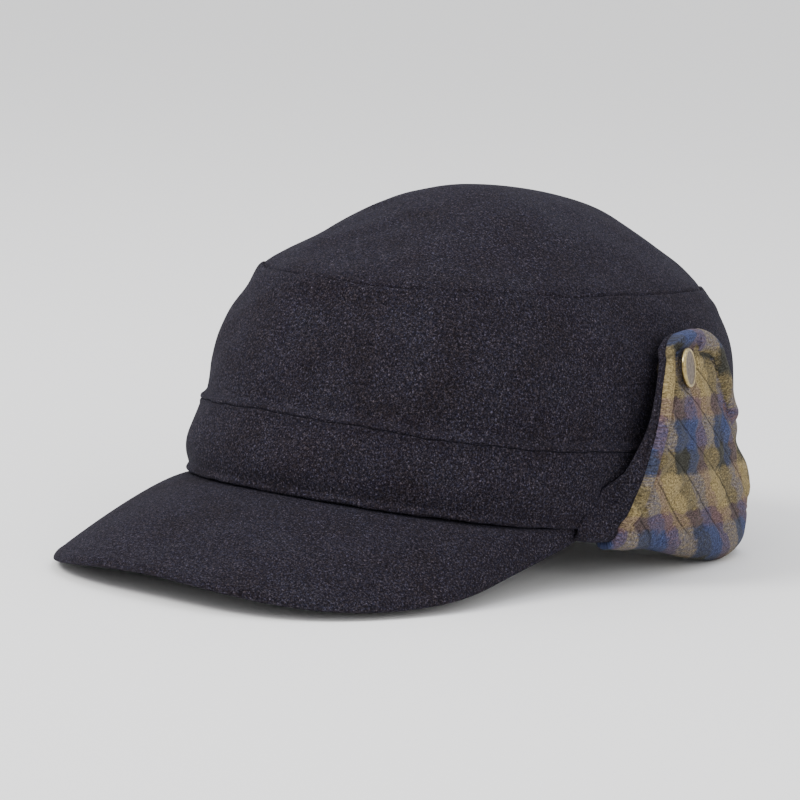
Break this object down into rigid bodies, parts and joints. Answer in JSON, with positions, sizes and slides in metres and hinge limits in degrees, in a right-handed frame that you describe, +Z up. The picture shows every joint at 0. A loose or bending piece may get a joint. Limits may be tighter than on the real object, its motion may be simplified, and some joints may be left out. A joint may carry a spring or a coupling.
{
  "type": "cap with earflaps",
  "caption": "Wool field cap with a low round crown, a short arched peak and quilted earflaps turned up and snapped to the crown.",
  "frame": {"origin": "on the table under the middle of the cap", "axes": "+Z up, the wearer faces -Y, +X is the wearer's left; the cap lies on its peak and flaps"},
  "size_m": [0.1908, 0.2608, 0.1262],
  "materials": {
    "wool": "felted wool melton, dark navy grey, heathered",
    "lining": "brushed cotton flannel, checked, quilted in diamonds",
    "brass": "antique brass, pressed"
  },
  "bodies": {
    "root": {"crown_top": "wool", "crown_wall": "wool", "band": "wool", "peak": "wool", "left_flap_shell": "wool", "left_flap_lining": "lining", "left_snap_cap": "brass", "left_snap_stud": "brass", "right_flap_shell": "wool", "right_flap_lining": "lining", "right_snap_cap": "brass", "right_snap_stud": "brass"}
  },
  "joints": []
}
